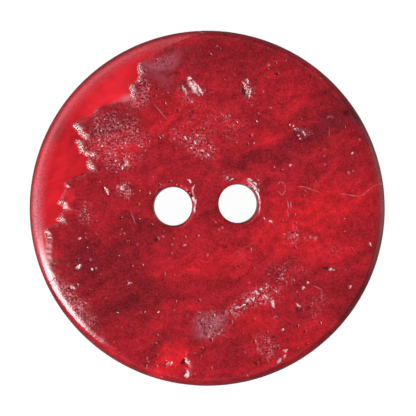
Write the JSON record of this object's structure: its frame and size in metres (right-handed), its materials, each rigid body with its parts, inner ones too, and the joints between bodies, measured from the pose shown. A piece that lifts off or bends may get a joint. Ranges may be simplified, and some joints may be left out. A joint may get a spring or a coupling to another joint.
{
  "type": "sew-through shell button",
  "caption": "Round flat sew-through button cut from shell and dyed red, with rounded edges and a polished face that keeps part of the shell's rough crust; sewn on with thread.",
  "frame": {"origin": "on the button's axis, at its flat back", "axes": "+Z is the outward direction of the face, away from the cloth; +X runs from one sewing hole to the other; +Y completes the right-handed set"},
  "size_m": [0.023, 0.023, 0.0022],
  "materials": {
    "dyed_shell": "gloss"
  },
  "bodies": {
    "root": {"button": "dyed_shell"}
  },
  "joints": []
}
